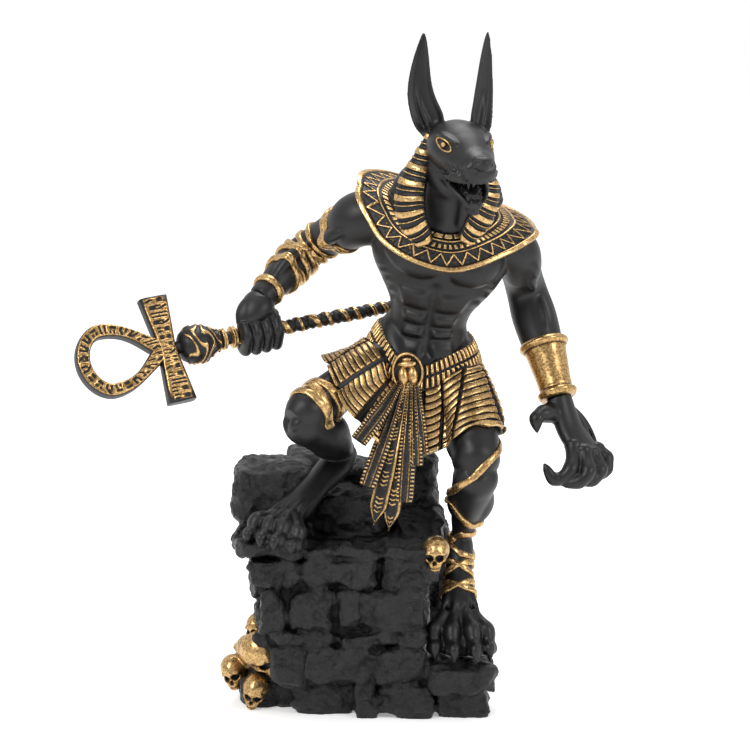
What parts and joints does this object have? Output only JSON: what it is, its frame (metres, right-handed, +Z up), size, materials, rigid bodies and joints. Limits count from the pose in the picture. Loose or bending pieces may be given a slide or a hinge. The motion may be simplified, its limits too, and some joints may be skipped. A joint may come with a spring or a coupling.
{
  "type": "figurine",
  "caption": "Jackal-headed ancient Egyptian god statue striding over a ruined stone wall, holding an ankh staff; a cast resin table-top figurine.",
  "frame": {"origin": "on the floor under the middle of the wall base", "axes": "+Z up, -Y towards the viewer of the picture, +X to the viewer's right"},
  "size_m": [0.2334, 0.1022, 0.2955],
  "materials": {
    "black_resin": "satin black cast resin",
    "gold_paint": "antique gold paint, worn over black",
    "black_stone": "black cast resin with a rough stone face"
  },
  "bodies": {
    "root": {"figure": "black_resin", "ankh_staff": "gold_paint", "ruined_wall_base": "black_stone"}
  },
  "joints": []
}
